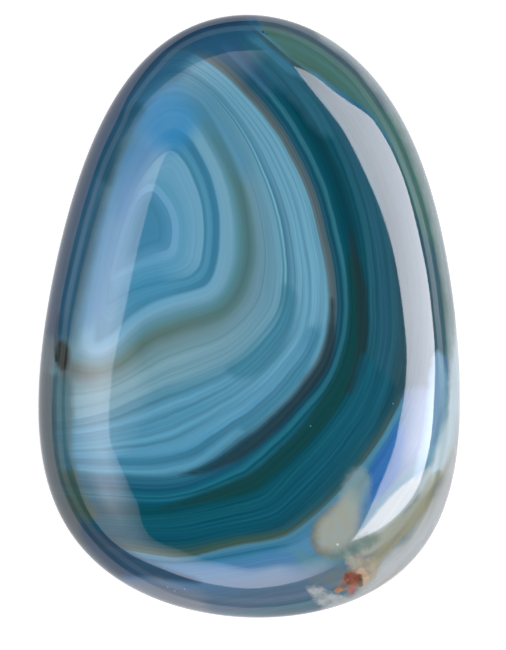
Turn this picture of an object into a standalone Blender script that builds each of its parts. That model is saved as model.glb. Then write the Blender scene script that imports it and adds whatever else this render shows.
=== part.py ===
# Polished agate: an egg-shaped stone, tumbled and hand polished, that lies on a small flat spot.
# Metres, +Z up. The broad polished face looks up and the narrow end points to +Y.
# The origin is on the resting surface, under the middle of the stone's box.

from math import pi, radians

import bmesh
import bpy
from mathutils import Matrix, Vector

MM = 0.001

COLLECTION_NAME = "polished agate"
STONE_NAME = "agate"

# Length from the broad end (-Y) to the narrow end (+Y)
LENGTH = 60.3 * MM

# Each of the next four is a sum of terms: a value for the middle of the stone, then how much the
# first, second and third power of the reach add to it. The reach runs from -1 at the broad end to
# +1 at the narrow end. On its own, a constant value would make the stone a plain ellipsoid.
HALF_WIDTH = (20.47 * MM, -3.98 * MM, 4.82 * MM, -0.61 * MM)
SIDE_LEAN = (0.0, 0.67 * MM, 0.22 * MM, -1.22 * MM)
RISE_ABOVE_GIRDLE = (9.8 * MM, -0.9 * MM, 0.5 * MM)
DROP_BELOW_GIRDLE = (8.9 * MM, -0.5 * MM, 0.4 * MM)

# Depth ground off the lowest point, which leaves the flat spot that the stone rests on
FLAT_SPOT_DEPTH = 0.32 * MM

SEGMENTS_ROUND = 72
RINGS_ALONG = 42
SHARP_ANGLE = radians(30)

# Mean colour of the banded surface, linear, and the gloss of a hand polish
AGATE_COLOUR = (0.075, 0.215, 0.300, 1.0)
POLISH_ROUGHNESS = 0.06
CHALCEDONY_IOR = 1.54


def clear_scene():
    for existing in list(bpy.data.objects):
        bpy.data.objects.remove(existing, do_unlink=True)


def sum_of_terms(terms, reach):
    return sum(term * reach**power for power, term in enumerate(terms))


def stone_point(on_sphere):
    """Where a point of the unit sphere, with its poles on Y, lies on the stone."""
    reach = on_sphere.y
    height_terms = RISE_ABOVE_GIRDLE if on_sphere.z > 0 else DROP_BELOW_GIRDLE
    return Vector((
        sum_of_terms(SIDE_LEAN, reach) + on_sphere.x * sum_of_terms(HALF_WIDTH, reach),
        reach * LENGTH / 2,
        on_sphere.z * sum_of_terms(height_terms, reach),
    ))


def grind_flat_spot(mesh):
    """Cut the lowest point off level and close the cut with one flat face."""
    lowest = min(vertex.co.z for vertex in mesh.verts)
    cut = bmesh.ops.bisect_plane(
        mesh,
        geom=mesh.verts[:] + mesh.edges[:] + mesh.faces[:],
        plane_co=(0, 0, lowest + FLAT_SPOT_DEPTH),
        plane_no=(0, 0, 1),
        clear_inner=True,
    )
    rim = [item for item in cut["geom_cut"] if isinstance(item, bmesh.types.BMEdge)]
    bmesh.ops.edgeloop_fill(mesh, edges=rim)


def move_to_origin(mesh):
    """Stand the stone on z = 0 with the middle of its box over the origin."""
    low = [min(vertex.co[axis] for vertex in mesh.verts) for axis in range(3)]
    high = [max(vertex.co[axis] for vertex in mesh.verts) for axis in range(3)]
    middle = Vector(((low[0] + high[0]) / 2, (low[1] + high[1]) / 2, low[2]))
    bmesh.ops.translate(mesh, verts=mesh.verts[:], vec=-middle)


def make_polished_agate_material():
    material = bpy.data.materials.new("polished agate")
    material.use_nodes = True
    shader = material.node_tree.nodes["Principled BSDF"]
    shader.inputs["Base Color"].default_value = AGATE_COLOUR
    shader.inputs["Roughness"].default_value = POLISH_ROUGHNESS
    shader.inputs["Metallic"].default_value = 0.0
    shader.inputs["IOR"].default_value = CHALCEDONY_IOR
    material.diffuse_color = AGATE_COLOUR
    return material


def make_stone(collection):
    mesh = bmesh.new()
    poles_on_y = Matrix.Rotation(-pi / 2, 4, "X")
    bmesh.ops.create_uvsphere(
        mesh,
        u_segments=SEGMENTS_ROUND,
        v_segments=RINGS_ALONG,
        radius=1.0,
        matrix=poles_on_y,
    )
    for vertex in mesh.verts:
        vertex.co = stone_point(vertex.co)
    grind_flat_spot(mesh)
    move_to_origin(mesh)
    bmesh.ops.recalc_face_normals(mesh, faces=mesh.faces[:])

    stone_mesh = bpy.data.meshes.new(STONE_NAME)
    mesh.to_mesh(stone_mesh)
    mesh.free()
    stone_mesh.shade_smooth()
    stone_mesh.set_sharp_from_angle(angle=SHARP_ANGLE)
    stone_mesh.materials.append(make_polished_agate_material())

    stone = bpy.data.objects.new(STONE_NAME, stone_mesh)
    collection.objects.link(stone)
    return stone


def main():
    clear_scene()
    collection = bpy.data.collections.new(COLLECTION_NAME)
    bpy.context.scene.collection.children.link(collection)
    make_stone(collection)


main()
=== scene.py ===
from math import pi

import bpy
import numpy as np
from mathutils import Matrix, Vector


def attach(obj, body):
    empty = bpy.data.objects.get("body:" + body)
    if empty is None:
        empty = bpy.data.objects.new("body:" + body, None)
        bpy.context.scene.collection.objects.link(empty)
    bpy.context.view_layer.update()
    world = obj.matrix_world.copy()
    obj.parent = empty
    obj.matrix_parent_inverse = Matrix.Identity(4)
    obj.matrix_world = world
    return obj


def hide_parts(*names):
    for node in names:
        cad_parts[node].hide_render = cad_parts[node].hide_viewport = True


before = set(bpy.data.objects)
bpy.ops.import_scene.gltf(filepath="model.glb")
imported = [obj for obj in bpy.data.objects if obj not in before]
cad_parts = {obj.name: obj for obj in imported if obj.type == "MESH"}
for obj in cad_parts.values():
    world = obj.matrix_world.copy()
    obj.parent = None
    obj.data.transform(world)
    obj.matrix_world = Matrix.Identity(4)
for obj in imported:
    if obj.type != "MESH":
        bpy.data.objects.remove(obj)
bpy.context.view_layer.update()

mm = 0.001


# Small helpers

def linearColour(hexText):
    # sRGB hex to the linear colour that a socket takes
    parts = [int(hexText[i:i + 2], 16) / 255 for i in (0, 2, 4)]
    linear = [c / 12.92 if c <= 0.04045 else ((c + 0.055) / 1.055) ** 2.4 for c in parts]
    return (*linear, 1.0)


def addNode(tree, kind, settings=None, links=None):
    # One node: properties and socket values from settings, inputs wired from links
    node = tree.nodes.new(kind)
    for key, value in (settings or {}).items():
        if isinstance(key, str) and hasattr(node, key):
            setattr(node, key, value)
        else:
            node.inputs[key].default_value = value
    for key, source in (links or {}).items():
        tree.links.new(source, node.inputs[key])
    return node


def newMaterial(name):
    material = bpy.data.materials.new(name)
    material.use_nodes = True
    return material, material.node_tree, material.node_tree.nodes["Principled BSDF"]


def onlyActive(thing):
    bpy.ops.object.select_all(action="DESELECT")
    thing.select_set(True)
    bpy.context.view_layer.objects.active = thing


def applyModifiers(thing):
    onlyActive(thing)
    for modifier in list(thing.modifiers):
        bpy.ops.object.modifier_apply(modifier=modifier.name)


# The photograph: where the stone lies in it and how large a pixel is on the stone

photo = {
    "size": (506, 650),           # px
    "stoneMiddle": (249.2, 316.2),  # px, middle of the stone's box
    "pxPerMm": 10.0,              # at the girdle
    "cameraHeight": 900.0,        # mm above the girdle, straight up
    "sensorHeight": 24.0,         # mm
    "clip": (0.01, 50.0),         # metres
}


def photoToStone(points):
    # photo pixels to millimetres on the stone, seen from above
    points = np.asarray(points, float)
    middle = np.array(photo["stoneMiddle"])
    return (points - middle) * (1, -1) / photo["pxPerMm"]


# The stone's form, in millimetres. A sum of terms is a value at the middle of the stone and what
# the first, second and third power of the reach add to it, from -1 at the broad end to +1 at the other.

stoneForm = {
    "length": 60.3,
    "halfWidth": (20.47, -3.98, 4.82, -0.61),
    "sideLean": (0.0, 0.67, 0.22, -1.22),
    "rise": (9.8, -0.9, 0.5),    # of the upper dome, above the girdle
    "drop": (8.9, -0.5, 0.4),    # of the underside, below it
    "flatDepth": 0.32,           # ground off for the resting spot
    "wornEdge": 0.35,            # width of the ring of faces inside that spot's edge
    "segments": 200,
    "rings": 116,
}


def alongStone(terms, reach):
    return sum(term * reach**power for power, term in enumerate(terms))


def shapeFromSphere(unit):
    # unit sphere points, poles on Y, to the stone's surface
    reach = unit[:, 1]
    rise, drop = alongStone(stoneForm["rise"], reach), alongStone(stoneForm["drop"], reach)
    height = np.where(unit[:, 2] > 0, rise, drop)
    x = alongStone(stoneForm["sideLean"], reach) + unit[:, 0] * alongStone(stoneForm["halfWidth"], reach)
    return np.column_stack((x, reach * stoneForm["length"] / 2, unit[:, 2] * height))


def placeOfStone():
    # what moves the shape to the origin: box middle in X, resting level in Z
    turn = np.linspace(0, 2 * pi, 721)
    around = shapeFromSphere(np.column_stack((np.cos(turn), np.sin(turn), np.zeros_like(turn))))
    under = shapeFromSphere(np.column_stack((np.zeros_like(turn), np.cos(turn), -np.abs(np.sin(turn)))))
    return np.array([
        -(around[:, 0].min() + around[:, 0].max()) / 2,
        0.0,
        -(under[:, 2].min() + stoneForm["flatDepth"]),
    ])


stonePlace = placeOfStone()
girdleHeight = stonePlace[2]


def sphereXY(x, y):
    # the unit-sphere coordinates of places seen from above
    reach = np.clip((y - stonePlace[1]) / (stoneForm["length"] / 2), -1, 1)
    middle = stonePlace[0] + alongStone(stoneForm["sideLean"], reach)
    return (x - middle) / alongStone(stoneForm["halfWidth"], reach), reach


def topHeight(x, y):
    # height of the upper dome over a place
    across, reach = sphereXY(x, y)
    level = np.sqrt(np.clip(1 - across**2 - reach**2, 0, 1))
    return girdleHeight + level * alongStone(stoneForm["rise"], reach)


# Camera, straight above as in the photograph

def makeCamera():
    middle = np.array(photo["size"]) / 2
    aim = photoToStone([middle])[0]
    data = bpy.data.cameras.new("camera")
    data.sensor_fit = "VERTICAL"
    data.sensor_height = photo["sensorHeight"]
    data.lens = data.sensor_height * photo["cameraHeight"] / (photo["size"][1] / photo["pxPerMm"])
    data.clip_start, data.clip_end = photo["clip"]
    camera = bpy.data.objects.new("camera", data)
    camera.location = Vector((aim[0], aim[1], girdleHeight + photo["cameraHeight"])) * mm
    bpy.context.scene.collection.objects.link(camera)
    bpy.context.scene.camera = camera
    return camera


camera = makeCamera()
print("camera placed")


# The stone: a sphere drawn out to the pebble's shape, its resting spot ground flat

def modelStone():
    bpy.ops.object.select_all(action="DESELECT")
    bpy.ops.mesh.primitive_uv_sphere_add(
        segments=stoneForm["segments"],
        ring_count=stoneForm["rings"],
        radius=1.0,
        location=(0, 0, 0),
        rotation=(-pi / 2, 0, 0),
    )
    stone = bpy.context.object
    stone.name = "polishedStone"
    onlyActive(stone)
    bpy.ops.object.transform_apply(location=True, rotation=True, scale=True)
    unit = np.empty(len(stone.data.vertices) * 3)
    stone.data.vertices.foreach_get("co", unit)
    shaped = (shapeFromSphere(unit.reshape(-1, 3)) + stonePlace) * mm
    stone.data.vertices.foreach_set("co", shaped.ravel())
    bpy.ops.object.mode_set(mode="EDIT")
    bpy.ops.mesh.select_all(action="SELECT")
    bpy.ops.mesh.bisect(plane_co=(0, 0, 0), plane_no=(0, 0, 1), use_fill=True, clear_inner=True)
    bpy.ops.mesh.select_all(action="DESELECT")
    bpy.ops.mesh.select_face_by_sides(number=12, type="GREATER")  # the ground face alone
    bpy.ops.mesh.inset(thickness=stoneForm["wornEdge"] * mm, depth=0)
    bpy.ops.mesh.select_all(action="SELECT")
    bpy.ops.mesh.normals_make_consistent(inside=False)
    bpy.ops.object.mode_set(mode="OBJECT")
    finer = stone.modifiers.new("finer", "SUBSURF")
    finer.levels = 1
    finer.render_levels = 1
    applyModifiers(stone)
    for vertex in stone.data.vertices:
        vertex.co.z = max(vertex.co.z, 0)  # subdivision lets the ground face sag a little
    bpy.ops.object.shade_smooth()
    return stone


stone = modelStone()
print("stone modelled,", len(stone.data.polygons), "faces")


# The bands: closed guide lines round the eye, drawn over the photograph. "at" is how many millimetres
# beyond the eye's edge a guide crosses the level line through the eye, on its right-hand side.

bandGuides = {
    "eye": {"at": 0.0, "px": [
        (153, 193), (161, 200), (168, 212), (172, 226), (172, 240), (169, 249), (155, 254), (136, 262),
        (116, 272), (121, 254), (127, 235), (134, 212), (143, 197)]},
    "ring": {"at": 0.8, "px": [
        (155, 184), (165, 194), (174, 208), (178, 222), (179, 238), (176, 254), (170, 259), (155, 262),
        (138, 267), (122, 275), (112, 280), (117, 256), (123, 233), (131, 209), (142, 189)]},
    "fineLine": {"at": 3.4, "px": [
        (172, 151), (184, 161), (194, 178), (201, 197), (204, 215), (205, 233), (204, 250), (200, 267),
        (191, 276), (178, 280), (160, 284), (140, 290), (122, 298), (108, 306), (108, 290), (113, 263),
        (120, 235), (130, 206), (143, 179), (158, 159)]},
    "darkRing": {"at": 5.0, "px": [
        (177, 130), (190, 139), (200, 154), (210, 174), (216, 194), (219.5, 214), (220.5, 235), (219, 256),
        (214, 275), (206, 286), (192, 291), (172, 296), (155, 302), (141, 310), (127, 321), (113, 334),
        (97, 343), (97, 322), (101, 290), (107, 255), (115, 222), (126, 190), (140, 161), (155, 142),
        (166, 133)]},
    "olive": {"at": 7.9, "px": [
        (180, 98), (196, 104), (207, 119), (217, 136), (227, 155), (235, 174), (242, 195), (246, 215),
        (249, 235), (249.5, 252), (247, 269), (242, 285), (233, 300), (220, 311), (203, 318), (185, 323),
        (168, 328), (153, 334), (140, 343), (128, 354), (116, 363), (100, 368), (80, 367), (60, 362),
        (66, 340), (75, 308), (84, 270), (94, 230), (105, 193), (119, 158), (136, 129), (152, 108),
        (165, 99)]},
    "greyEdge": {"at": 11.05, "px": [
        (187, 79), (203, 89), (216, 101), (228, 115), (239, 131), (249, 149), (258, 168), (266, 188),
        (273, 210), (278, 232), (281, 252), (282, 270), (281, 286), (278, 304), (271, 319), (261, 332),
        (250, 344), (236, 356), (220, 365), (203, 372), (185, 379), (165, 385), (150, 391), (133, 399),
        (115, 407), (90, 415), (62, 420), (40, 420), (38, 400), (46, 360), (56, 320), (68, 275), (80, 230),
        (92, 190), (106, 155), (123, 124), (141, 100), (160, 83), (174, 77)]},
    "lightEdge": {"at": 15.2, "px": [
        (190, 52), (206, 61), (221, 72), (235, 85), (248, 98.5), (260, 112), (271, 126), (281, 140),
        (290, 156), (299, 173), (307, 191), (314, 212), (319, 234), (323, 252), (327, 270), (329, 288),
        (330, 306), (329, 322), (327, 337), (322, 351), (314, 366), (302, 382), (290, 397), (276, 411),
        (260, 426), (243, 438), (226, 451), (210, 462), (195, 470), (178, 475), (150, 477), (120, 475),
        (85, 473), (45, 468), (20, 460), (15, 400), (22, 300), (50, 190), (90, 110), (130, 65), (165, 50)]},
    "paleLine": {"at": 17.0, "px": [
        (196, 26), (215, 36), (231, 52), (244, 66), (257, 79), (271, 93.5), (283, 109), (294, 126),
        (303, 142), (311, 157), (318, 173), (325, 190), (331, 211), (336, 233), (340.5, 252), (344, 270),
        (346, 288), (346.5, 304), (346, 320), (344, 336), (340, 352), (334, 369), (324, 387), (311, 402.5),
        (298, 417), (285, 431), (270, 444), (256, 456), (243, 467), (228, 474), (208, 483), (188, 490),
        (165, 494), (140, 494), (110, 492), (60, 488), (25, 480), (0, 460), (-5, 300), (30, 150), (100, 50),
        (160, 20)]},
    "darkestBand": {"at": 18.6, "px": [
        (215, 12), (236, 32), (252, 50), (268, 67), (283, 84), (297, 102), (309, 121), (319, 139),
        (328, 157), (337, 176), (345, 197), (351, 218), (355, 239), (358, 260), (360, 282), (361, 304),
        (361, 326), (358, 348), (354, 366), (348, 382), (341, 397), (331, 413), (318, 430), (303, 446),
        (288, 461), (272, 475), (254, 487), (232, 495), (208, 502), (182, 507), (150, 509), (118, 507),
        (60, 503), (20, 495), (-15, 470), (-20, 300), (20, 130), (100, 30), (165, 2)]},
    "darkestEdge": {"at": 19.5, "px": [
        (218, 3), (232, 19), (244, 33), (258, 48), (274, 63), (291, 79), (307, 97), (320, 115), (330, 134),
        (339, 152), (347, 171), (354, 192), (360, 214), (364, 236), (367, 258), (369, 281), (370, 304),
        (370, 328), (367, 350), (362, 370), (355, 388), (346, 406), (334, 423), (321, 439), (307, 453),
        (292, 468), (278, 483), (266, 495), (251, 501), (228, 506), (204, 511), (178, 515), (150, 517),
        (118, 516), (60, 512), (20, 505), (-20, 480), (-30, 300), (10, 120), (100, 20), (170, -6)]},
    "oliveEdge": {"at": 23.4, "px": [
        (240, 12), (251, 26), (262, 36), (274, 46.5), (287, 58), (301, 68), (319, 83), (338, 103),
        (356, 126), (371, 150), (383, 176), (394, 206), (402, 236), (408, 270), (411, 305), (411, 340),
        (407, 372), (400, 398), (390, 418), (379, 436), (366, 456), (352, 474), (337, 492), (321, 508),
        (303, 523), (284, 535), (264, 540), (240, 543.5), (216, 549), (194, 555), (170, 556), (145, 552),
        (118, 547), (80, 545), (20, 540), (-30, 520), (-50, 300), (0, 100), (100, 0), (180, -18)]},
    "tealStreak": {"at": 24.6, "px": [
        (252, 8), (262, 22), (276, 33), (292, 44), (308, 54), (328, 69), (350, 91), (370, 117), (387, 146),
        (400, 176), (410, 208), (417, 240), (422, 274), (424, 308), (423, 342), (419, 375), (412, 402),
        (402, 425), (391, 444), (378, 464), (364, 483), (349, 502), (332, 519), (314, 534), (294, 545),
        (270, 549), (246, 554), (222, 558), (198, 561), (170, 563), (135, 560), (100, 556), (60, 556),
        (0, 555), (-50, 530), (-65, 300), (-10, 90), (100, -12), (190, -30)]},
}

# Where the dye took differently along the bands, outlined in photo pixels. Each has two colours that
# run into each other, how soft and how ragged its edge is in mm, and how much it hides the bands below.

dyePatches = {
    "tealCrown": ("4c92b2", "4488ac", 1.4, 0.6, 0.65, [
        (148, 92), (178, 78), (207, 91), (224, 112), (237, 135), (246, 158), (248, 176), (241, 176),
        (229, 158), (215, 141), (200, 125), (186, 112), (168, 110), (152, 122), (136, 140), (128, 130)]),
    "leftBlue": ("5890bc", "5088b4", 0.9, 0.4, 0.7, [
        (152, 100), (138, 124), (126, 150), (115, 180), (105, 210), (97, 240), (91, 270), (84, 300),
        (80, 325), (96, 326), (108, 304), (117, 272), (126, 236), (135, 205), (146, 178), (160, 152),
        (168, 125), (166, 105)]),
    "deepLeftBlue": ("3a78ac", "3c84b4", 0.8, 0.4, 0.6, [
        (128, 150), (140, 142), (150, 150), (148, 170), (140, 186), (130, 206), (120, 222), (116, 204),
        (118, 184), (122, 164)]),
    "tealShade": ("3a7e98", "34788f", 0.5, 0.3, 0.7, [
        (284, 285), (279, 312), (270, 330), (258, 345), (243, 358), (226, 369), (236, 378), (258, 374),
        (278, 356), (291, 334), (296, 310), (292, 288)]),
    "deepShade": ("327a94", "2e728c", 0.35, 0.3, 0.65, [
        (311, 326), (304, 352), (292, 372), (276, 392), (258, 410), (238, 426), (246, 430), (264, 416),
        (284, 398), (300, 380), (312, 358), (318, 336)]),
    "blueSky": ("388ec4", "3288be", 1.3, 0.6, 0.8, [
        (160, 92), (178, 92), (192, 106), (196, 126), (188, 142), (172, 152), (158, 152), (146, 140),
        (142, 122), (148, 104)]),
    "crownTeal": ("34708a", "2c6074", 0.7, 0.5, 0.75, [
        (226, 20), (240, 30), (256, 40), (272, 54), (290, 72), (306, 92), (322, 116), (330, 136),
        (320, 134), (302, 112), (284, 94), (266, 78), (250, 62), (240, 46), (226, 32)]),
    "topNavy": ("3c6488", "34507a", 0.8, 0.5, 0.75, [
        (196, 42), (222, 33), (236, 40), (248, 56), (260, 74), (268, 92), (258, 88), (242, 72), (226, 60),
        (208, 54), (192, 50)]),
    "slateWedge": ("26373d", "163c4a", 0.3, 0.2, 0.85, [
        (331, 298), (329, 318), (324, 345), (316, 365), (304, 381), (292, 396), (278, 410), (262, 425),
        (245, 437), (228, 450), (214, 459), (196, 468), (180, 474), (206, 472), (228, 464), (243, 456),
        (256, 447), (270, 435), (284, 422), (297, 408), (310, 393), (322, 377), (331, 360), (335, 340),
        (334, 320), (333, 302)]),
    "greenDark": ("16403e", "0c4444", 0.4, 0.3, 0.8, [
        (350, 250), (360, 272), (364, 300), (364, 345), (352, 386), (332, 415), (305, 446), (278, 470),
        (253, 490), (228, 496), (190, 504), (160, 508), (196, 493), (228, 481), (250, 470), (272, 452),
        (298, 428), (320, 398), (337, 366), (346, 330), (348, 300), (346, 270)]),
    "darkCore": ("1c363d", "22383c", 0.3, 0.3, 0.8, [
        (349, 228), (357, 256), (364, 284), (367, 316), (366, 350), (360, 376), (352, 394), (344, 393),
        (351, 372), (355, 345), (356, 315), (354, 288), (350, 258)]),
    "middleShade": ("4484a2", "4a8cae", 0.6, 0.4, 0.6, [
        (322, 326), (314, 352), (302, 372), (288, 390), (270, 406), (250, 422), (232, 430), (248, 406),
        (268, 386), (284, 368), (297, 348), (306, 328)]),
    "deepTeal": ("00465a", "126076", 0.5, 0.4, 0.6, [
        (30, 498), (150, 512), (206, 504), (250, 494), (280, 474), (306, 448), (330, 420), (350, 388),
        (362, 352), (380, 370), (398, 392), (386, 420), (366, 450), (336, 488), (302, 518), (276, 528),
        (230, 533), (180, 536), (120, 532), (30, 530)]),
    "darkFlank": ("28505e", "24465c", 0.4, 0.3, 0.9, [
        (290, 66), (312, 86), (330, 106), (346, 128), (361, 154), (373, 182), (383, 214), (391, 250),
        (397, 290), (401, 330), (401, 364), (397, 392), (408, 400), (426, 398), (440, 350), (440, 300),
        (430, 250), (418, 208), (404, 170), (388, 142), (368, 116), (347, 102), (320, 84)]),
    "lightStreak": ("4a88a4", "3a7894", 0.3, 0.3, 0.85, [
        (238, 27), (250, 31), (262, 40), (277, 54), (293, 68), (306, 82), (290, 75), (274, 62), (260, 50),
        (248, 40)]),
    "underStrip": ("52709c", "5a78a4", 0.5, 0.3, 0.85, [
        (404, 392), (424, 388), (436, 392), (432, 425), (424, 452), (412, 468), (398, 482), (382, 494),
        (388, 470), (396, 446), (402, 420)]),
    "cobalt": ("2f66ac", "3c78b8", 0.35, 0.4, 0.92, [
        (396, 422), (386, 439), (377, 452), (370, 465), (369, 480), (368, 492), (372, 500), (384, 492),
        (395, 480), (401, 462), (403, 440), (402, 424)]),
    "calmBlue": ("5890b0", "5088ae", 0.5, 0.4, 0.85, [
        (292, 541), (308, 531), (322, 521), (332, 526), (328, 543), (310, 551), (290, 551), (278, 549)]),
    "tealBand": ("4c809e", "5c8ea4", 0.3, 0.3, 0.8, [
        (430, 450), (414, 462), (400, 473), (388, 486), (372, 506), (362, 520), (370, 524), (384, 506),
        (396, 492), (410, 480), (430, 466)]),
    "whiteWedge": ("c6ced2", "b8c4ca", 0.2, 0.3, 0.92, [
        (430, 465), (413, 476), (401, 485), (389, 496), (377, 510), (363, 527), (349, 543), (370, 537),
        (390, 524), (405, 510), (418, 494), (428, 480)]),
}

# What runs along the stone's rim instead of along the bands, described in the same way. Not all of it is the
# stone's colour: the pale and grey patches round the rim are painted reflections of the pale table, the two
# dark ones along the upper left rim are painted shade, and the streaks at the right hem are made paler with
# painted light.

rimPatches = {
    # darker blue between the left rim and the broad reflection: painted shade where the surface turns from
    # the light
    "leftFlankPaintedShade": ("245c7e", "1f5270", 1.0, 0.5, 0.88, [
        (245, 42), (225, 50), (200, 60), (178, 76), (154, 96), (138, 116), (124, 140), (111, 176),
        (104, 205), (95, 240), (90, 265), (83, 292), (77, 318), (72, 340), (60, 342), (20, 340), (20, 240),
        (80, 90), (160, 20), (230, 0), (262, 10), (262, 30)]),
    "crownShade": ("184860", "1c5068", 0.6, 0.4, 0.65, [
        (112, 186), (116, 168), (123, 150), (130, 134), (138, 120), (146, 110), (138, 104), (124, 116),
        (114, 132), (106, 150), (100, 170), (104, 184)]),
    "greenFlank": ("486c5e", "4f7c76", 0.35, 0.4, 0.92, [
        (262, 30), (275, 44), (287, 57), (299, 66), (316, 76), (340, 93), (362, 107), (380, 128),
        (395, 156), (408, 190), (419, 230), (428, 275), (433, 320), (436, 352), (470, 352), (480, 200),
        (430, 60), (340, -10), (262, -5)]),
    # grey-blue at the upper right rim: painted reflection of the pale table
    "duskRimPaintedReflection": ("44566a", "52667a", 0.35, 0.4, 0.8, [
        (256, 12), (262, 26), (285, 31), (305, 40), (325, 52), (343, 66), (358, 79), (372, 95), (384, 112),
        (400, 100), (360, 50), (310, 20), (270, 5)]),
    "slateFlank": ("3f5e70", "486a7e", 0.5, 0.4, 0.85, [
        (422, 236), (432, 244), (440, 280), (444, 320), (444, 352), (434, 352), (432, 320), (428, 280)]),
    # pale grey-green along the right rim: painted reflection of the pale table and painted light through the
    # thin edge
    "paleRimPaintedReflection": ("93a8ac", "a6b8be", 0.5, 0.4, 0.85, [
        (318, 34), (345, 56), (367, 80), (390, 112), (409, 150), (425, 197), (437, 247), (445, 300),
        (448, 350), (449, 400), (447, 440), (440, 470), (475, 470), (490, 300), (450, 120), (400, 50),
        (350, 10)]),
    # dark navy at the very left rim: painted shade where the rim turns from the light
    "leftRimPaintedShade": ("1c3c5c", "24425c", 0.7, 0.4, 0.85, [
        (246, 22), (228, 29), (204, 34), (178, 48), (150, 72), (128, 101), (106, 145), (90, 190), (76, 240),
        (64, 295), (57, 335), (30, 340), (0, 250), (60, 80), (150, 0), (250, -10)]),
    # a blue streak at the right hem, made paler as painted light where the rim is lit
    "blueStreakWithPaintedLight": ("88aecb", "7ca4c4", 0.3, 0.3, 0.88, [
        (436, 350), (441, 356), (443, 380), (441, 400), (438, 422), (433, 442), (428, 457), (422, 470),
        (414, 478), (416, 460), (422, 440), (426, 400), (430, 370)]),
    # a teal streak at the right hem, made paler as painted light where the rim is lit
    "tealHemWithPaintedLight": ("86b2c8", "7cacc0", 0.3, 0.3, 0.85, [
        (441, 362), (446, 372), (447, 400), (445, 425), (439, 445), (431, 462), (425, 472), (428, 452),
        (436, 435), (440, 415), (441, 390)]),
    # near white along the right hem: painted reflection of the pale table
    "paleHemPaintedReflection": ("d6ecf6", "c8dce4", 0.35, 0.4, 0.9, [
        (463, 262), (467, 330), (466, 380), (462, 424), (452, 452), (440, 474), (428, 490), (418, 498),
        (420, 484), (428, 468), (436, 448), (443, 425), (447, 400), (450, 365), (456, 320)]),
    # pale beige at the lower right rim: partly the stone's beige, partly painted reflection of the pale table
    "beigeRimAndPaintedReflection": ("b8b6aa", "c8ced2", 0.7, 0.8, 0.88, [
        (462, 416), (454, 438), (445, 462), (437, 484), (427, 504), (415, 522), (402, 538), (386, 552),
        (374, 564), (366, 576), (359, 589), (346, 598), (330, 606), (316, 616), (345, 630), (390, 605),
        (420, 580), (450, 545), (470, 500), (478, 430)]),
    "sandInside": ("b6baac", "acb0a0", 0.4, 0.5, 0.88, [
        (431, 472), (421, 488), (407, 506), (391, 521), (373, 534), (358, 543), (362, 555), (384, 546),
        (402, 530), (416, 512), (428, 494), (434, 480)]),
    "oliveRim": ("949270", "a09e84", 0.3, 0.4, 0.85, [
        (437, 470), (431, 484), (421, 500), (409, 517), (396, 532), (381, 545), (371, 555), (366, 567),
        (367, 580), (373, 578), (377, 566), (387, 553), (402, 539), (415, 523), (427, 504), (436, 486),
        (441, 472)]),
    "greyFlank": ("386070", "426a70", 0.5, 0.5, 0.85, [
        (54, 374), (70, 374), (74, 400), (74, 430), (74, 455), (78, 478), (62, 480), (20, 460), (20, 376)]),
    # grey along the lower left rim: painted reflection of the pale table
    "lowerRimPaintedReflection": ("46565e", "566064", 0.6, 0.5, 0.85, [
        (55, 338), (54, 372), (54, 400), (57, 440), (64, 478), (76, 510), (98, 542), (126, 568), (110, 590),
        (30, 520), (10, 372), (10, 340)]),
    "brownHaze": ("484c4c", "5c5e5e", 0.8, 0.4, 0.5, [
        (66, 354), (76, 361), (90, 368), (100, 374), (90, 382), (76, 380), (64, 378), (60, 368)]),
    "oliveFlank": ("3e5248", "4a5838", 0.6, 0.6, 0.8, [
        (60, 472), (72, 470), (82, 486), (92, 503), (98, 514), (90, 522), (76, 508), (66, 490)]),
    "brownNotch": ("1e1c16", "2a2822", 0.4, 0.3, 0.9, [
        (60, 341), (65, 341), (70, 347), (71, 357), (68, 367), (63, 371), (59, 366), (58, 352)]),
    "darkLine": ("1a1e24", "242a34", 0.12, 0.15, 0.8, [
        (60, 312), (58, 330), (57, 348), (58, 362), (56, 362), (55, 347), (56, 328), (59, 312)]),
    "navyFoot": ("30485e", "2c4a66", 0.4, 0.5, 0.88, [
        (84, 520), (98, 526), (120, 543), (140, 556), (162, 565), (184, 573), (200, 580), (178, 581),
        (142, 577), (120, 577), (94, 552), (82, 536)]),
    # pale grey at the bottom rim: painted reflection of the pale table
    "greyFootPaintedReflection": ("969aa0", "7c828e", 0.8, 0.8, 0.7, [
        (120, 587), (132, 581), (150, 579), (170, 583), (188, 589), (204, 598), (206, 612), (190, 618),
        (150, 606), (124, 594)]),
}

# What isn't banding at all: clear quartz, sand and rust

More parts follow.
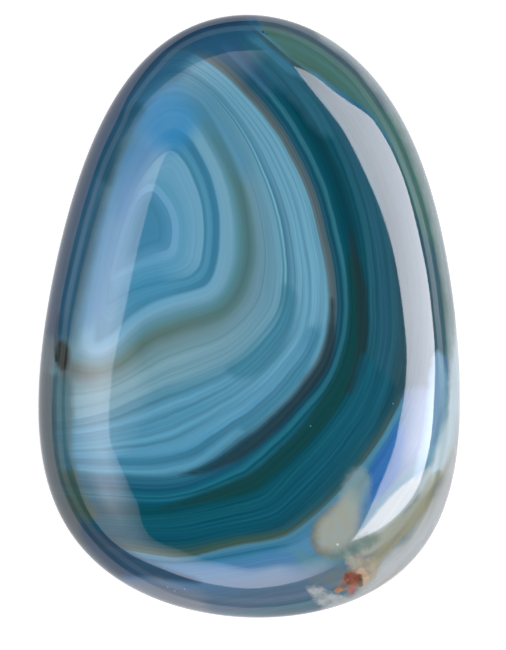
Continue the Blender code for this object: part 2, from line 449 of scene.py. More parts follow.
inclusions = {
    "tealHalo": ("548a98", "62909a", 0.6, 0.4, 0.75, [
        (296, 548), (312, 552), (330, 553), (344, 549), (354, 547), (350, 559), (334, 564), (312, 567),
        (298, 562)]),
    "greyPool": ("6c827e", "80948c", 0.4, 0.5, 0.85, [
        (320, 550), (336, 545), (350, 538), (364, 533), (380, 533), (376, 542), (362, 550), (346, 557),
        (328, 558)]),
    "beigeEdge": ("7e7660", "6a6a58", 0.35, 0.2, 0.75, [
        (314, 549), (310, 535), (314, 521), (323, 511), (332, 504), (338, 500), (337, 514), (331, 530),
        (330, 548), (322, 553)]),
    "beige": ("a6a898", "a1aba8", 0.65, 0.25, 0.92, [
        (320, 547), (316, 535), (319, 521), (328, 511), (337, 501), (345, 489), (353, 487), (359, 503),
        (358, 520), (355, 534), (345, 544), (334, 549)]),
    "greenBeige": ("86a0a8", "8aa098", 0.6, 0.4, 0.7, [
        (343, 489), (350, 472), (362, 467), (369, 478), (367, 492), (360, 502), (350, 499)]),
    "slatePool": ("66808c", "74807e", 0.6, 0.4, 0.75, [
        (308, 579), (318, 572), (332, 568), (343, 566), (349, 571), (344, 579), (334, 584), (320, 584)]),
    "sandPatch": ("a69c8a", "bcb6a4", 0.4, 0.6, 0.85, [
        (346, 556), (354, 553), (366, 556), (378, 562), (376, 574), (368, 584), (360, 588), (352, 572)]),
    "whiteQuartz": ("c0c6c4", "94a0a8", 0.3, 0.6, 0.85, [
        (307, 586), (318, 586), (328, 591), (340, 594), (350, 600), (344, 605), (328, 607), (318, 602)]),
    "fracture": ("b4bcae", "8c9c90", 0.15, 0.2, 0.6, [
        (344, 547), (348, 551), (352, 556), (355, 561), (357, 566), (354, 565), (349, 559), (345, 553)]),
    "rustHalo": ("84705f", "a07c68", 0.25, 0.45, 0.75, [
        (334, 590), (337, 583), (341, 576), (345, 571), (352, 568), (361, 570), (364, 578), (360, 586),
        (354, 592), (350, 594), (346, 589), (340, 590)]),
    "amber": ("d4baa0", "c09c78", 0.12, 0.4, 0.8, [
        (355, 571), (361, 567), (367, 572), (369, 579), (364, 583), (361, 576)]),
    "rustSpeck": ("7c3426", "a06044", 0.12, 0.45, 0.9, [
        (344, 574), (348, 571), (354, 572), (360, 573), (361, 578), (358, 584), (354, 586), (350, 583),
        (345, 582)]),
    "darkFleck": ("4c4238", "645440", 0.1, 0.35, 0.7, [
        (358, 573), (362, 578), (361, 585), (357, 586), (358, 580)]),
    "redFleck": ("9c4444", "b46a60", 0.1, 0.3, 0.85, [
        (348, 587), (352, 585), (355, 589), (352, 594), (349, 592)]),
    "orangeFleck": ("b87850", "c89474", 0.1, 0.3, 0.8, [
        (333, 590), (337, 587), (342, 588), (339, 592)]),
}

# small grains in the surface, and the painted shade of a pit near the top: photo px, radius in px, colour
specksAndPitShade = [
    (337, 543, 1.3, "dcecec"), (347, 579, 1.1, "c87068"), (310, 425, 0.9, "5f98a4"),
    # (263, 33) and (267, 35) are painted shade in a small pit
    (392, 403, 0.8, "7c9cb4"), (263, 33, 1.5, "18222e"), (267, 35, 1.0, "2c3c48"),
    (168, 586, 1.0, "b8bec6"), (175, 590, 0.9, "c0c6cc"), (185, 588, 0.9, "bcc2ca"),
    (372, 556, 0.8, "c0bca8"),
]


def smoothLoop(points, steps=5):
    # closed centripetal Catmull-Rom curve through the listed points
    points = np.array(points, float)
    before, after, beyond = (np.roll(points, shift, axis=0) for shift in (1, -1, -2))
    t1, t2, t3 = np.cumsum([
        np.sqrt(np.linalg.norm(b - a, axis=1))[:, None]
        for a, b in ((before, points), (points, after), (after, beyond))], axis=0)
    runs = []
    for step in range(steps):
        t = t1 + (t2 - t1) * step / steps
        a = ((t1 - t) * before + t * points) / t1
        b = ((t2 - t) * points + (t - t1) * after) / (t2 - t1)
        c = ((t3 - t) * after + (t - t2) * beyond) / (t3 - t2)
        d = ((t2 - t) * a + t * b) / t2
        e = ((t3 - t) * b + (t - t1) * c) / (t3 - t1)
        runs.append(((t2 - t) * d + (t - t1) * e) / (t2 - t1))
    return np.stack(runs, axis=1).reshape(-1, 2)


def distanceTo(loop, x, y):
    # distance to a closed loop, negative inside it
    nearest = np.full(x.shape, 1e9)
    inside = np.zeros(x.shape, bool)
    for (ax, ay), (bx, by) in zip(loop, np.roll(loop, -1, axis=0)):
        ex, ey = bx - ax, by - ay
        share = np.clip(((x - ax) * ex + (y - ay) * ey) / (ex * ex + ey * ey), 0, 1)
        nearest = np.minimum(nearest, (x - ax - share * ex) ** 2 + (y - ay - share * ey) ** 2)
        if ay != by:
            inside ^= ((ay > y) != (by > y)) & (x < ax + (y - ay) * ex / ey)
    return np.where(inside, -1, 1) * np.sqrt(nearest)


layering = {
    "slip": (0.45, -0.25),  # how far a band moves sideways for each mm below the upper dome
    "spread": 0.30,         # how much the place in the banding grows with that depth
    "wander": (0.28, 0.7),  # how far the bands stray with that depth, and how often per mm, in radians
    "flush": 0.05,          # mm, less depth than this counts as none
    "eye": (150, 240),      # photo px, what the bands run round
    "turn": (20, 75),       # degrees below level, to the right of the eye, where the colours change over
    "turnBack": (100, 150),  # degrees above level, past the top of the eye, where they change again
}


def vertexCoordinates(thing):
    co = np.empty(len(thing.data.vertices) * 3)
    thing.data.vertices.foreach_get("co", co)
    return co.reshape(-1, 3) / mm


def writeAttribute(thing, name, values):
    attribute = thing.data.attributes.new(name, "FLOAT", "POINT")
    attribute.data.foreach_set("value", values.astype(np.float32))


def paintStone(stone):
    # the place in the banding and the distance to each patch, at every vertex
    co = vertexCoordinates(stone)
    depth = np.clip(topHeight(co[:, 0], co[:, 1]) - co[:, 2], 0, None)
    depth[depth < layering["flush"]] = 0
    stray, often = layering["wander"]
    x = co[:, 0] + depth * (layering["slip"][0] + stray * np.sin(often * depth + 0.4 * co[:, 1]))
    y = co[:, 1] + depth * (layering["slip"][1] + stray * np.sin(often * depth + 0.4 * co[:, 0]))
    guides = list(bandGuides.values())
    distances = [distanceTo(smoothLoop(photoToStone(guide["px"])), x, y) for guide in guides]
    place = guides[0]["at"] + distances[0]
    for inner, outer, near, far in zip(guides, guides[1:], distances, distances[1:]):
        share = np.clip(near / np.maximum(near - far, 1e-4), 0, 1)
        place = np.where(near > 0, inner["at"] + share * (outer["at"] - inner["at"]), place)
    place = np.where(distances[-1] > 0, guides[-1]["at"] + distances[-1], place)
    writeAttribute(stone, "bandPlace", place + layering["spread"] * depth)
    eyeX, eyeY = photoToStone([layering["eye"]])[0]
    angle = np.degrees(np.arctan2(eyeY - y, x - eyeX))
    below, above = (np.clip((turned - start) / (end - start), 0, 1) for turned, (start, end) in (
        (angle, layering["turn"]), (-angle, layering["turnBack"])))
    writeAttribute(stone, "belowShare", np.maximum(below, above))
    across, reach = sphereXY(co[:, 0], co[:, 1])
    writeAttribute(stone, "rimPlace", np.sqrt(across**2 + reach**2) * alongStone(stoneForm["halfWidth"], 0.0))
    for name, patch in (dyePatches | rimPatches | inclusions).items():
        writeAttribute(stone, name, distanceTo(smoothLoop(photoToStone(patch[-1]), 4), x, y))


paintStone(stone)
print("bands laid out")


# Colours of the bands, each with its place in mm beyond the eye's edge. They change on the way
# round the eye, so there is one set for its right-hand side and one for below it and its left.

bandsRight = [
    [(-1.0, "4284a6"), (0.0, "5090b4"), (0.15, "6ca5c8"), (0.7, "6aa3c6"), (0.95, "5a98b8"), (1.5, "5f9cbc"),
     (2.2, "69a1bf"), (3.25, "6ba3c0"), (3.4, "41829e"), (3.6, "4384a4"), (3.8, "4f92b0"), (4.15, "4a8aaa"),
     (4.35, "3a7a9a"), (4.85, "397a9a"), (5.1, "6aa0bc"), (5.5, "71a4be"), (6.2, "70a3bb"), (6.6, "5d91a4"),
     (7.0, "53858f"), (7.4, "4f7981"), (7.9, "4a7276")],
    [(7.9, "4a7276"), (8.2, "537b82"), (8.6, "618a95"), (9.0, "6991a5"), (9.35, "6794a8"), (9.45, "588392"),
     (9.6, "6794aa"), (10.2, "6395aa"), (10.7, "689ab0"), (11.05, "6a9fb6"), (11.1, "4c879e"),
     (11.25, "4f8aa2"), (11.35, "74aac2"), (11.45, "689fb8"), (11.55, "498098"), (11.85, "5088a2"),
     (12.1, "6097b0"), (12.2, "548aa4"), (12.35, "68a0ba"), (12.8, "6aa2bc"), (12.9, "5c92ac"),
     (13.05, "6aa2bc"), (13.4, "65a0bb"), (13.5, "5790ab"), (13.6, "6aa3bd"), (14.1, "6ea5bf"),
     (14.2, "5f97b1"), (14.35, "6aa2bb"), (14.75, "66a0ba"), (14.95, "679db2"), (15.08, "5d7d89"),
     (15.2, "5d6c74")],
    [(15.2, "586e76"), (15.35, "56686c"), (15.7, "4c626a"), (15.9, "345c70"), (16.0, "20505f"),
     (16.15, "225c70"), (16.3, "184e64"), (16.45, "104a60"), (16.6, "185a6e"), (16.8, "30707f"),
     (17.0, "2a6a7c"), (17.2, "0f5266"), (17.5, "044a5a"), (18.0, "054150"), (18.4, "073f4e"),
     (18.7, "0c4654"), (19.0, "124e5e"), (19.2, "0e4a5c"), (19.5, "245e70"), (19.9, "225a6c"),
     (20.1, "1c5264"), (20.3, "265c70"), (21.0, "285c72"), (21.3, "205466"), (21.5, "2a5f72"),
     (22.0, "2c5a6a"), (22.4, "2e5664"), (22.8, "365a64"), (23.2, "465c5a"), (23.4, "3c5658")],
]

bandsBelow = [
    [(-1.0, "4284a7"), (0.0, "5492b6"), (0.3, "5c9cbf"), (0.8, "5e9dc0"), (1.3, "5597b9"), (2.5, "4992b5"),
     (3.0, "458bb1"), (3.3, "3f83a4"), (3.5, "468db0"), (3.8, "4a8eb2"), (4.2, "4a8fb0"), (4.55, "4388a9"),
     (4.85, "4486a6"), (5.05, "5c99b8"), (5.25, "64a2c1"), (5.95, "74a6c1"), (6.3, "6b9db5"),
     (6.7, "6191a5"), (7.1, "5a8b98"), (7.5, "5a8389"), (7.9, "587a78")],
    [(7.9, "587a78"), (8.25, "56736f"), (8.45, "5f7f82"), (8.7, "66878d"), (8.9, "6f919a"), (9.15, "6b929c"),
     (9.4, "749ca8"), (9.5, "6a929e"), (9.75, "7ca5b2"), (10.2, "76a2b4"), (10.45, "6d98a8"),
     (10.7, "719faf"), (11.05, "72a5bb"), (11.2, "5c96ae"), (11.5, "5590a9"), (11.65, "4a88a2"),
     (11.95, "5c9bb8"), (12.15, "5f9ebc"), (12.3, "4b8aa8"), (12.45, "4f90ae"), (12.85, "4d8dab"),
     (13.05, "5899b7"), (13.3, "5698b6"), (13.45, "4c8ba9"), (13.7, "5798b8"), (14.05, "5192b3"),
     (14.2, "3e809f"), (14.45, "3c7e9c"), (14.65, "4e91b1"), (14.9, "5798b4"), (15.05, "43829c"),
     (15.2, "33718c")],
    [(15.2, "33718c"), (15.4, "2a6c86"), (15.8, "286884"), (15.95, "1a5a74"), (16.2, "1e6079"),
     (16.4, "12526c"), (16.66, "125870"), (16.95, "16687f"), (17.1, "1d6c84"), (17.25, "0a5568"),
     (17.5, "237088"), (17.7, "0d5a70"), (17.95, "085469"), (18.4, "05505e"), (18.8, "044c58"),
     (19.3, "024a54"), (19.6, "06505a"), (20.1, "0a5560"), (20.3, "044c62"), (20.6, "0a5668"),
     (20.95, "065064"), (21.03, "1f677c"), (21.12, "044c62"), (21.5, "0a5266"), (21.7, "064e60"),
     (22.1, "105060"), (22.5, "24565e"), (22.8, "335854"), (23.1, "405a50"), (23.4, "486c74")],
]

bandsOfSkin = [
    (23.4, "48788a"), (23.55, "5088a2"), (23.85, "4684a4"), (24.1, "34789a"), (24.3, "2a6a8c"),
    (24.6, "3e80a6"), (24.9, "4886b0"), (25.6, "5284b0"), (26.5, "5884aa"), (27.6, "5c7c9c"),
    (28.6, "5a768e"), (29.5, "60758e"), (30.6, "4a7788"), (31.4, "2c5c70"), (32.2, "5b8ca2"),
    (33.5, "3c6f86"), (35.0, "6a98a8"), (36.5, "2f6076"), (38.0, "5f8fa3"), (40.0, "356a7c"),
    (42.0, "6c94a0"), (46.0, "3a6a7c")]


# Polished dyed agate: chalcedony (refractive index 1.54) with a wet-looking hand polish

agate = {
    "ior": 1.54,
    "roughness": 0.045,
    "waver": ((230.0, 0.10), (900.0, 0.03)),  # wobble of the bands: noise per metre, reach in mm
    "lineSpacing": 0.2,                      # mm between the finest growth lines
    "streakSpacing": 0.7,                    # mm between streaks in the dye patches and in the rim's patches
    "lineDrift": 70.0,                       # per metre, how quickly a line fades along its length
    "lineShade": (0.82, 1.14),               # what the darkest and the lightest line make of a colour
    "linesStart": (9.0, 11.5, 0.35),         # mm beyond the eye over which lines gain strength, and from what
    "linesFade": (23.5, 25.5, 0.45),         # the same for where they weaken, and to what
    "raggedPatches": (330.0, 6.0),               # noise per metre and its octaves, for the edges of the dye patches and the rim's patches
    "raggedGrains": (1900.0, 5.0),           # the same for the edges of inclusions
    "mottling": (900.0, 6.0),                # the same for an inclusion's two tones
    "toneChange": (0.36, 0.64),              # noise values over which one tone runs into the other
    "speckEdge": (0.4, 1.3),                 # where a speck's edge begins and ends, in its radius
    "speckStrength": 0.75,
}


def bandRamp(tree, place, bands):
    # colours along a stretch of the banding
    span = addNode(tree, "ShaderNodeMapRange", {
        "From Min": bands[0][0], "From Max": bands[-1][0]}, {"Value": place})
    ramp = addNode(tree, "ShaderNodeValToRGB", links={"Fac": span.outputs["Result"]})
    stops = ramp.color_ramp.elements
    width = bands[-1][0] - bands[0][0]
    for index, (at, colour) in enumerate(bands):
        where = (at - bands[0][0]) / width
        stop = stops[0] if index == 0 else stops[-1] if index == len(bands) - 1 else stops.new(where)
        stop.position = where
        stop.color = linearColour(colour)
    return ramp.outputs["Color"]


def fromHere(tree, place, start, before, after):
    # one colour up to a place in the banding and another beyond it
    beyond = addNode(tree, "ShaderNodeMath", {"operation": "GREATER_THAN", 1: start}, {0: place})
    mix = addNode(tree, "ShaderNodeMix", {"data_type": "RGBA"},
                  {"Factor": beyond.outputs[0], 6: before, 7: after})
    return mix.outputs[2]


def makeAgateMaterial():
    material, tree, shader = newMaterial("polished dyed agate")
    objectPlace = addNode(tree, "ShaderNodeTexCoord").outputs["Object"]
    place = addNode(tree, "ShaderNodeAttribute", {"attribute_name": "bandPlace"}).outputs["Fac"]
    for scale, reach in agate["waver"]:
        wobble = addNode(tree, "ShaderNodeTexNoise", {"Scale": scale, "Detail": 1.0}, {"Vector": objectPlace})
        shift = addNode(tree, "ShaderNodeMath", {"operation": "MULTIPLY_ADD", 1: 2 * reach, 2: -reach},
                        {0: wobble.outputs["Fac"]})
        place = addNode(tree, "ShaderNodeMath", {"operation": "ADD"},
                        {0: place, 1: shift.outputs[0]}).outputs[0]
    belowShare = addNode(tree, "ShaderNodeAttribute", {"attribute_name": "belowShare"}).outputs["Fac"]
    colour = None
    for right, below in zip(bandsRight, bandsBelow):
        ring = addNode(tree, "ShaderNodeMix", {"data_type": "RGBA"}, {
            "Factor": belowShare, 6: bandRamp(tree, place, right),
            7: bandRamp(tree, place, below)}).outputs[2]
        colour = ring if colour is None else fromHere(tree, place, right[0][0], colour, ring)
    colour = fromHere(tree, place, bandsOfSkin[0][0], colour, bandRamp(tree, place, bandsOfSkin))

    # fine growth lines: noise stretched along the bands
    drift = addNode(tree, "ShaderNodeVectorMath", {"operation": "SCALE", "Scale": agate["lineDrift"]},
                    {0: objectPlace})

    def noiseAt(vector, scale, detail):
        return addNode(tree, "ShaderNodeTexNoise", {"Scale": scale, "Detail": detail, "Roughness": 0.6},
                       {"Vector": vector}).outputs["Fac"]

    def linesAcross(distance, spacing, detail):
        across = addNode(tree, "ShaderNodeMath", {"operation": "MULTIPLY", 1: 1 / spacing}, {0: distance})
        axis = addNode(tree, "ShaderNodeCombineXYZ", {}, {"X": across.outputs[0]})
        vector = addNode(tree, "ShaderNodeVectorMath", {"operation": "ADD"},
                         {0: drift.outputs[0], 1: axis.outputs[0]})
        return noiseAt(vector.outputs[0], 1.0, detail)

    def betweenPlaces(start, end, before, beyond):
        return addNode(tree, "ShaderNodeMapRange", {
            "interpolation_type": "SMOOTHSTEP", "From Min": start, "From Max": end,
            "To Min": before, "To Max": beyond}, {"Value": place}).outputs[0]

    darkest, lightest = agate["lineShade"]
    shade = addNode(tree, "ShaderNodeMapRange", {
        "From Min": 0.3, "From Max": 0.7, "To Min": darkest, "To Max": lightest},
        {"Value": linesAcross(place, agate["lineSpacing"], 2.0)})
    start, full, atFirst = agate["linesStart"]
    weaker, weakest, atLast = agate["linesFade"]
    strength = addNode(tree, "ShaderNodeMath", {"operation": "MULTIPLY"}, {
        0: betweenPlaces(start, full, atFirst, 1.0), 1: betweenPlaces(weaker, weakest, 1.0, atLast)})
    lined = addNode(tree, "ShaderNodeMix", {"data_type": "FLOAT", 2: 1.0},
                    {0: strength.outputs[0], 3: shade.outputs[0]})

    # dye runs along the bands in streaks; the rim's patches, painted reflection and shade among them, are
    # streaked along the rim; and the inclusions are mottled
    rimPlace = addNode(tree, "ShaderNodeAttribute", {"attribute_name": "rimPlace"}).outputs["Fac"]
    patchEdge, grainEdge = (noiseAt(objectPlace, *agate[key]) for key in ("raggedPatches", "raggedGrains"))
    for group, variation, ragged in (
            (dyePatches, linesAcross(place, agate["streakSpacing"], 4.0), patchEdge),
            (rimPatches, linesAcross(rimPlace, agate["streakSpacing"], 4.0), patchEdge),
            (inclusions, noiseAt(objectPlace, *agate["mottling"]), grainEdge)):
        if group is rimPatches:
            colour = addNode(tree, "ShaderNodeVectorMath", {"operation": "SCALE"},
                             {0: colour, "Scale": lined.outputs[0]}).outputs[0]
        blend = addNode(tree, "ShaderNodeMapRange", {
            "From Min": agate["toneChange"][0], "From Max": agate["toneChange"][1]},
            {"Value": variation}).outputs[0]
        for name, (tone, otherTone, softEdge, raggedness, strength, _) in group.items():
            distance = addNode(tree, "ShaderNodeAttribute", {"attribute_name": name}).outputs["Fac"]
            moved = addNode(tree, "ShaderNodeMath", {"operation": "MULTIPLY_ADD", 1: 2 * raggedness},
                            {0: ragged, 2: distance})
            share = addNode(tree, "ShaderNodeMapRange", {
                "interpolation_type": "SMOOTHSTEP", "From Min": raggedness - softEdge,
                "From Max": raggedness + softEdge, "To Min": strength, "To Max": 0.0},
                {"Value": moved.outputs[0]})
            tones = addNode(tree, "ShaderNodeMix", {
                "data_type": "RGBA", 6: linearColour(tone), 7: linearColour(otherTone)}, {"Factor": blend})
            mix = addNode(tree, "ShaderNodeMix", {"data_type": "RGBA"},
                          {"Factor": share.outputs[0], 6: colour, 7: tones.outputs[2]})
            colour = mix.outputs[2]
    for px, py, radius, tone in specksAndPitShade:
        x, y = photoToStone([(px, py)])[0]
        away = addNode(tree, "ShaderNodeVectorMath", {
            "operation": "DISTANCE", 1: Vector((x, y, float(topHeight(x, y)))) * mm}, {0: objectPlace})
        begins, ends = (radius * edge / photo["pxPerMm"] * mm for edge in agate["speckEdge"])
        share = addNode(tree, "ShaderNodeMapRange", {
            "From Min": begins, "From Max": ends, "To Min": agate["speckStrength"], "To Max": 0.0},
            {"Value": away.outputs["Value"]})
        colour = addNode(tree, "ShaderNodeMix", {"data_type": "RGBA", 7: linearColour(tone)},
                         {"Factor": share.outputs[0], 6: colour}).outputs[2]

    tree.links.new(colour, shader.inputs["Base Color"])
    shader.inputs["Roughness"].default_value = agate["roughness"]
    shader.inputs["IOR"].default_value = agate["ior"]
    return material


stone.data.materials.clear()
stone.data.materials.append(makeAgateMaterial())
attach(stone, "root")
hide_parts("agate")
print("stone finished")


# A map with the upper and the lower half of the stone side by side, for baking. Both are drawn out
# towards the girdle, where the surface is steep and a plain view from above would squeeze it.
# Places and sizes are shares of the map.

bakeMap = {
    "upper": (0.36, 1.0),    # where its middle lies across the map, and its size
    "lower": (0.86, 0.38),
    "reach": (0.35, 0.48),   # half the width and half the height of the upper half
    "drawnOut": 0.5,         # 0 is the plain view from above
}


def layOutMap(stone):
    co = vertexCoordinates(stone)
    across, reach = sphereXY(co[:, 0], co[:, 1])
    fromMiddle = np.sqrt(across**2 + reach**2)
    steep = np.arcsin(np.clip(fromMiddle, 0, 1)) / (pi / 2)
    drawnOut = bakeMap["drawnOut"]
    drawn = ((1 - drawnOut) * fromMiddle + drawnOut * steep) / np.maximum(fromMiddle, 1e-6)
    spread = np.column_stack((across * drawn * bakeMap["reach"][0], reach * drawn * bakeMap["reach"][1]))
    mesh = stone.data
    uvLayer = mesh.uv_layers.new(name="OFBake")
    loopVertex = np.empty(len(mesh.loops), dtype=np.int64)
    mesh.loops.foreach_get("vertex_index", loopVertex)
    faceOfLoop = np.repeat(np.arange(len(mesh.polygons)), [p.loop_total for p in mesh.polygons])
    faceUp = np.array([p.center.z / mm > girdleHeight for p in mesh.polygons])
    loopUp = faceUp[faceOfLoop]
    middle, size = (np.where(loopUp, up, low) for up, low in zip(bakeMap["upper"], bakeMap["lower"]))
    u = middle + spread[loopVertex, 0] * size
    v = 0.5 + spread[loopVertex, 1] * size
    uvLayer.data.foreach_set("uv", np.column_stack((u, v)).ravel())


layOutMap(stone)


# Light: each panel's outline is found by following the view through the outline of its
# reflection in the photograph, to the stone and on, to a panel that far away.

lights = {
    "distance": 450.0,      # mm from the stone to a panel
    "overheadHeight": 1.0,  # metres
    "overheadSize": 1.2,
    "overheadWatts": 12.5,
    "tableTint": "f8f4f8",
    "tableGlow": 1.0,
    # each reflection in photo px: its outer and inner edge, pair by pair, and by the number of the
    # pair how brightly the panel glows from one edge to the other
    "softBox": {
        "tint": "fbf6ff",
        "edges": [
            (275, 50, 258, 84), (250, 50.5, 238, 96), (225, 53, 226, 108), (195, 64, 212, 114),
            (165, 84, 194, 128), (139, 111, 176, 146), (120, 150, 164, 158), (104, 190, 153.5, 189),
            (92, 230, 142.5, 229), (81.5, 270, 133, 270), (73.5, 310, 125, 310), (67.5, 350, 116, 350),
            (65, 390, 110.5, 390), (65, 415, 109, 415), (66, 440, 110, 440), (70, 460, 116, 456),
            (83, 500, 131, 490), (94, 520, 138, 505), (111, 540, 142, 523), (130, 554, 151, 537),
            (145, 561.5, 163, 544), (165, 570, 181, 550), (190, 579, 202, 559), (220, 585.5, 224, 563),
            (250, 588.5, 250, 568), (280, 585.5, 277, 564), (303, 580, 299, 562), (325, 571.5, 317, 556),
            (342, 563, 338, 555)],
        "glow": {
            0: (0, 0, 0, 0, 0), 1: (1.5, 1.1, 0.6, 0.2, 0), 3: (1.5, 1.0, 0.5, 0.1, 0),
            5: (0.7, 0.7, 0.5, 0.2, 0), 6: (0.4, 0.7, 1.1, 1.9, 2.3), 7: (0.6, 1.1, 2.4, 3.0, 2.4),
            8: (0.6, 1.4, 3.1, 3.0, 2.4), 10: (0.8, 1.8, 4.1, 4.7, 3.0), 11: (0.8, 2.4, 5.0, 5.6, 4.6),
            12: (0.7, 2.1, 4.0, 4.9, 4.4),
            14: (0.7, 2.1, 3.6, 4.7, 4.6), 15: (1.0, 2.2, 3.4, 4.6, 2.2), 16: (1.4, 2.2, 4.6, 3.4, 0.9),
            17: (1.8, 2.2, 3.0, 2.0, 1.0), 18: (2.0, 2.2, 2.0, 1.6, 0.9), 19: (2.4, 2.6, 2.2, 1.4, 0.6),
            21: (3.2, 3.2, 3.1, 1.8, 0.5), 23: (4.0, 4.0, 3.9, 3.2, 0.8), 25: (4.0, 4.2, 4.3, 3.8, 1.0),
            26: (3.2, 3.6, 2.8, 1.8, 0.4), 27: (1.6, 2.2, 1.8, 0.9, 0.2), 28: (0, 0, 0, 0, 0)},
    },
    "softBoxSpill": {
        "tint": "fbf6ff",
        "edges": [
            (127, 300, 147, 300), (121, 330, 145, 330), (116, 350, 142, 350), (111.5, 370, 148, 370),
            (110.5, 390, 156, 390), (109, 415, 152, 415), (110, 440, 140, 440), (116, 456, 136, 454)],
        "glow": {0: (0.3, 0.1, 0), 1: (0.9, 0.5, 0), 2: (1.9, 1.0, 0), 4: (1.8, 1.3, 0), 6: (1.8, 0.8, 0),
                 7: (1.2, 0.5, 0)},
    },
    "tallStrip": {
        "tint": "faf9ff",
        "edges": [
            (293, 66, 293.5, 66), (305, 70.5, 298, 72), (320, 80, 304, 80), (332, 90, 312, 90),
            (346, 100, 321, 101), (361, 110, 331, 113.5), (373, 120, 343, 130), (386, 140, 354, 150),
            (396, 160, 366, 175), (404, 180, 377, 200), (412, 207, 386, 225), (420, 240, 393, 250),
            (427, 275, 398.5, 278), (431.5, 310, 403, 310), (434.5, 345, 406.5, 345),
            (435, 375, 406.5, 370), (434, 400, 404, 398), (432.5, 425, 400, 420), (429.5, 447, 395, 445),
            (424, 470, 388, 466), (416, 491, 381, 483), (404, 508, 374, 500), (391, 521, 367, 515),
            (376, 531, 361, 527), (362, 538, 356, 535), (352, 541, 351, 541)],
        "glow": {0: (5, 5, 5), 4: (8.5, 8, 7), 7: (9.8, 9, 7.8), 10: (11, 9.5, 8), 13: (12, 10.5, 9),
                 15: (12.5, 10.5, 8.6), 16: (14, 11.5, 6.5), 18: (14.5, 12, 6.0), 19: (11, 9, 5.6),
                 20: (8, 7.5, 5.6), 22: (7, 7, 6), 25: (5, 5, 5)},
    },
    "lowWall": {
        "tint": "f0f8ff",
        "inward": (4.5, 9.5),  # px inside the table's edge
        "glow": {0: 0.6, 6: 0.7, 12: 0.8, 14: 0.5, 16: 0.4, 18: 0.5, 22: 0.7, 23: 1.0, 24: 1.8, 25: 2.0,
                 28: 1.9, 29: 1.5, 30: 1.0, 32: 0.7, 34: 0.6},
    },
    # where the pale table ends in the polish, all the way round
    "tableEdge": [
        (240, 21), (218, 24), (195, 31), (165, 50), (128, 96), (117, 120), (98.5, 160), (85.5, 200),
        (74.5, 240), (61.5, 300), (56, 350), (52, 400), (55, 460), (67, 500), (95, 543), (143, 580),
        (195, 601), (250, 608), (305, 602), (355, 583), (397, 554), (428, 510), (443, 460), (449, 400),
        (447, 345), (444, 315), (440, 280), (433, 240), (423, 200), (409, 160), (396, 130), (378, 100),
        (355, 70), (330, 49), (300, 31), (270, 22)],
}


def reflectedRay(px, py):
    # where the view through a photo pixel meets the stone and which way it goes on
    eye = np.array(camera.location) / mm
    target = np.append(photoToStone([(px, py)])[0], girdleHeight)
    view = (target - eye) / np.linalg.norm(target - eye)
    x, y = target[:2]
    for _ in range(12):  # each round comes closer to where the view meets the dome
        x, y = (eye + view * (topHeight(x, y) - eye[2]) / view[2])[:2]
    point = np.array([x, y, topHeight(x, y)])

    def fullness(place):
        across, reach = sphereXY(place[0], place[1])
        return across**2 + reach**2 + ((place[2] - girdleHeight) / alongStone(stoneForm["rise"], reach)) ** 2

    normal = np.array([fullness(point + axis) - fullness(point - axis) for axis in np.eye(3) * 0.01])
    normal /= np.linalg.norm(normal)
    return point, view - 2 * view.dot(normal) * normal


def reflectedPoint(px, py):
    point, away = reflectedRay(px, py)
    return (point + away * lights["distance"]) * mm


def reflectedOnTable(px, py):
    point, away = reflectedRay(px, py)
    sideways = np.linalg.norm(away[:2])
    steepness = max(-away[2] / sideways, 0.01)
    reached = point[:2] + away[:2] / sideways * point[2] / steepness
    return (*(reached * mm), 0.0)


def glowMaterial(name, tint, strength):
    # plain emission; the strength is a number or comes from the mesh
    material = bpy.data.materials.new(name)
    material.use_nodes = True
    tree = material.node_tree
    tree.nodes.clear()
    glowing = addNode(tree, "ShaderNodeEmission", {"Color": linearColour(tint)})
    if strength is None:
        power = addNode(tree, "ShaderNodeAttribute", {"attribute_name": "glow"})
        tree.links.new(power.outputs["Fac"], glowing.inputs["Strength"])
    else:
        glowing.inputs["Strength"].default_value = strength
    addNode(tree, "ShaderNodeOutputMaterial", {}, {"Surface": glowing.outputs[0]})
    return material


def onlyInReflections(thing):
    thing.visible_camera = False
    thing.visible_diffuse = False
    thing.visible_shadow = False


def alongEdges(edges, steps=3):
    # an open Catmull-Rom run through the pairs of edge points
    edges = np.array(edges, float)
    padded = np.vstack((2 * edges[0] - edges[1], edges, 2 * edges[-1] - edges[-2]))
    rows = []
    for index in range((len(edges) - 1) * steps + 1):
        pair = min(index // steps, len(edges) - 2)
        t = index / steps - pair
        a, b, c, d = padded[pair:pair + 4]
        square, cube = 2 * a - 5 * b + 4 * c - d, 3 * b - a - 3 * c + d
        rows.append(0.5 * (2 * b + (c - a) * t + square * t**2 + cube * t**3))
    return np.array(rows)


def makePanel(name, tint, edges, glow, steps=3):
    # glow: by the number of a pair of edge points, the brightness from its first edge to its second
    glowAcross = np.array(list(glow.values()), float).reshape(len(glow), -1)
    columns = max(2 * glowAcross.shape[1] - 1, 2)
    shares = np.linspace(0, 1, columns)
    points, powers = [], []
    rows = alongEdges(edges, steps)
    for index, (outerX, outerY, innerX, innerY) in enumerate(rows):
        stations = [np.interp(index / steps, list(glow), column) for column in glowAcross.T]
        for share in shares:
            px, py = outerX + (innerX - outerX) * share, outerY + (innerY - outerY) * share
            points.append(reflectedPoint(px, py))
            powers.append(np.interp(share, np.linspace(0, 1, len(stations)), stations))
    mesh = bpy.data.meshes.new(name)
    mesh.from_pydata(points, [], [
        (r * columns + c, r * columns + c + 1, (r + 1) * columns + c + 1, (r + 1) * columns + c)
        for r in range(len(rows) - 1) for c in range(columns - 1)])
    attribute = mesh.attributes.new("glow", "FLOAT", "POINT")
    attribute.data.foreach_set("value", powers)
    mesh.materials.append(glowMaterial(name, tint, None))
    light = bpy.data.objects.new(name, mesh)
    bpy.context.scene.collection.objects.link(light)
    onlyInReflections(light)


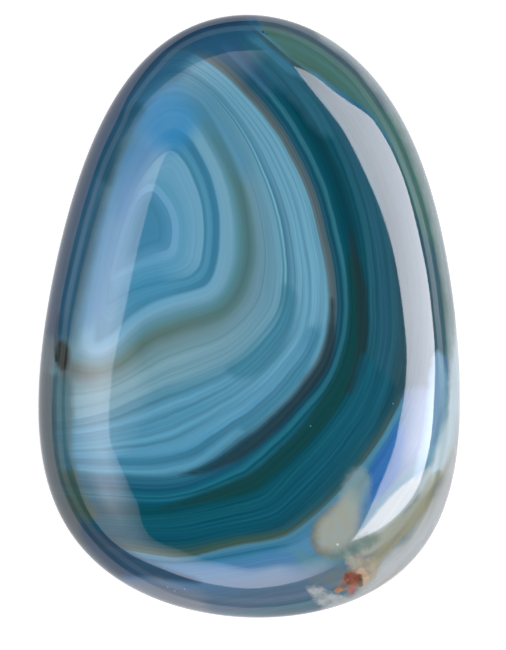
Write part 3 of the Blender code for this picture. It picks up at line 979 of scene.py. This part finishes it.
def insideOf(outline, distance):
    # a closed outline moved inwards
    outline = np.array(outline, float)
    along = np.roll(outline, -1, axis=0) - np.roll(outline, 1, axis=0)
    sideways = np.column_stack((along[:, 1], -along[:, 0])) / np.linalg.norm(along, axis=1)[:, None]
    towards = np.sign(np.sum(sideways * (outline.mean(axis=0) - outline), axis=1))[:, None]
    return outline + sideways * towards * distance


def makeLowWall():
    near, far = lights["lowWall"]["inward"]
    pairs = np.hstack((insideOf(lights["tableEdge"], near), insideOf(lights["tableEdge"], far)))
    makePanel("lowWall", lights["lowWall"]["tint"], np.vstack((pairs, pairs[:1])), lights["lowWall"]["glow"])


def makeTable():
    # the pale table top as the polish shows it
    mesh = bpy.data.meshes.new("tableTop")
    outline = [reflectedOnTable(px, py) for px, py in lights["tableEdge"]]
    mesh.from_pydata(outline, [], [list(range(len(outline)))])
    mesh.materials.append(glowMaterial("pale table top", lights["tableTint"], lights["tableGlow"]))
    table = bpy.data.objects.new("tableTop", mesh)
    bpy.context.scene.collection.objects.link(table)
    onlyInReflections(table)


def makeOverheadLight():
    # the even light on the stone's colours; the panels above only show in the polish
    lamp = bpy.data.lights.new("overhead diffuser", "AREA")
    lamp.shape = "DISK"
    lamp.size = lights["overheadSize"]
    lamp.energy = lights["overheadWatts"]
    light = bpy.data.objects.new("overhead diffuser", lamp)
    light.location = (0, 0, lights["overheadHeight"])
    light.visible_camera = False
    light.visible_glossy = False
    bpy.context.scene.collection.objects.link(light)


for panelName in ("softBox", "softBoxSpill", "tallStrip"):
    makePanel(panelName, **lights[panelName])
makeLowWall()
makeTable()
makeOverheadLight()
print("light panels placed")


# Floor and surroundings

studio = {
    "floorRadius": 3.0,      # metres
    "floorColour": "cbcbcd",
    "floorRoughness": 0.6,
    "floorGlow": 0.62,       # a lit acrylic table
    "roomTint": (0.9, 0.95, 1.0, 1.0),
    "roomGlow": 0.05,        # dim room above the horizon, seen only in reflections
    "backdropGlow": 1.05,
}


def makeFloor():
    bpy.ops.object.select_all(action="DESELECT")
    bpy.ops.mesh.primitive_circle_add(
        vertices=96, radius=studio["floorRadius"], fill_type="NGON", location=(0, 0, 0))
    floor = bpy.context.object
    floor.name = "floor"
    material, _, shader = newMaterial("lit white acrylic")
    shader.inputs["Base Color"].default_value = linearColour(studio["floorColour"])
    shader.inputs["Roughness"].default_value = studio["floorRoughness"]
    shader.inputs["Emission Color"].default_value = (1, 1, 1, 1)
    shader.inputs["Emission Strength"].default_value = studio["floorGlow"]
    floor.data.materials.append(material)
    floor.visible_glossy = False


def makeSurroundings():
    world = bpy.data.worlds.new("studio")
    bpy.context.scene.world = world
    world.use_nodes = True
    tree = world.node_tree
    tree.nodes.clear()
    room = addNode(tree, "ShaderNodeBackground", {
        "Color": studio["roomTint"], "Strength": studio["roomGlow"]})
    seen = addNode(tree, "ShaderNodeBackground", {
        "Color": (1, 1, 1, 1), "Strength": studio["backdropGlow"]})
    ray = addNode(tree, "ShaderNodeLightPath")
    mix = addNode(tree, "ShaderNodeMixShader", {}, {
        0: ray.outputs["Is Camera Ray"], 1: room.outputs[0], 2: seen.outputs[0]})
    addNode(tree, "ShaderNodeOutputWorld", {}, {"Surface": mix.outputs[0]})


makeFloor()
makeSurroundings()
bpy.context.scene.view_settings.view_transform = "Standard"
print("studio set")
